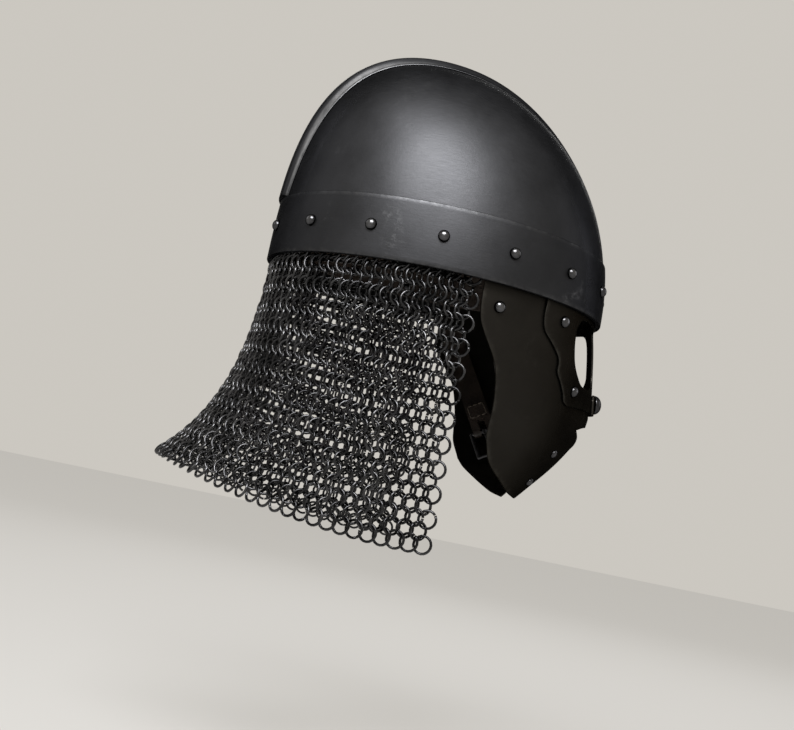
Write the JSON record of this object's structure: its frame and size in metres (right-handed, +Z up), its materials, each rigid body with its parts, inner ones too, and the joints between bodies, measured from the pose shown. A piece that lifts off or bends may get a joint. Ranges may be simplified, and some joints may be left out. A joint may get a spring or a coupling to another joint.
{
  "type": "spangenhelm with spectacle guard and mail curtain",
  "caption": "Blackened steel spangen helmet with brow band, raised crest band, spectacle face guard, cheek plates and a mail curtain of linked rings.",
  "frame": {"origin": "Centre of the brow band's lower rim, where the wearer's head goes in.", "axes": "+Z up to the crown, -Y the way the face looks, +X to the wearer's left; the helmet mirrors across X = 0."},
  "size_m": [0.2184, 0.2875, 0.3239],
  "materials": {
    "black_steel": "satin",
    "plate_steel": "satin",
    "rivet_steel": "satin",
    "ring_steel": "satin",
    "liner_leather": "matte",
    "strap_leather": "matte",
    "lace_leather": "matte",
    "buckle_steel": "satin"
  },
  "bodies": {
    "helmet": {"skull_right": "black_steel", "skull_left": "black_steel", "crest_band": "black_steel", "brow_band": "black_steel", "band_rivets": "rivet_steel", "spectacle_plate": "plate_steel", "nose_plate": "plate_steel", "cheek_plate_right": "plate_steel", "cheek_plate_left": "plate_steel", "guard_rivets": "rivet_steel", "nose_rivet": "rivet_steel", "cheek_rivets": "rivet_steel", "liner_band": "liner_leather", "crown_tongues": "liner_leather", "crown_lace": "lace_leather", "hanging_wire": "ring_steel", "wire_staples": "ring_steel", "strap_left": "strap_leather", "strap_right": "strap_leather", "strap_rivets": "rivet_steel", "mail_rows_1": "ring_steel", "mail_rows_2": "ring_steel", "mail_rows_3": "ring_steel", "mail_rows_4": "ring_steel", "mail_rows_5": "ring_steel", "mail_rows_6": "ring_steel", "mail_rows_7": "ring_steel", "mail_rows_8": "ring_steel", "mail_rows_9": "ring_steel", "mail_rows_10": "ring_steel", "mail_rows_11": "ring_steel", "mail_rows_12": "ring_steel"},
    "buckle_frame": {"buckle_frame": "buckle_steel"},
    "buckle_prong": {"buckle_prong": "buckle_steel"}
  },
  "joints": [
    {"name": "buckle_swing", "type": "hinge", "parent": "helmet", "child": "buckle_frame", "pos_m": [0.04916, -0.0611, -0.07905], "axis": [0.1853, 0.8425, -0.5058], "range_deg": [0, 60]},
    {"name": "prong_swing", "type": "hinge", "parent": "buckle_frame", "child": "buckle_prong", "pos_m": [0.04916, -0.0611, -0.07905], "axis": [0.1853, 0.8425, -0.5058], "range_deg": [0, 75]}
  ]
}
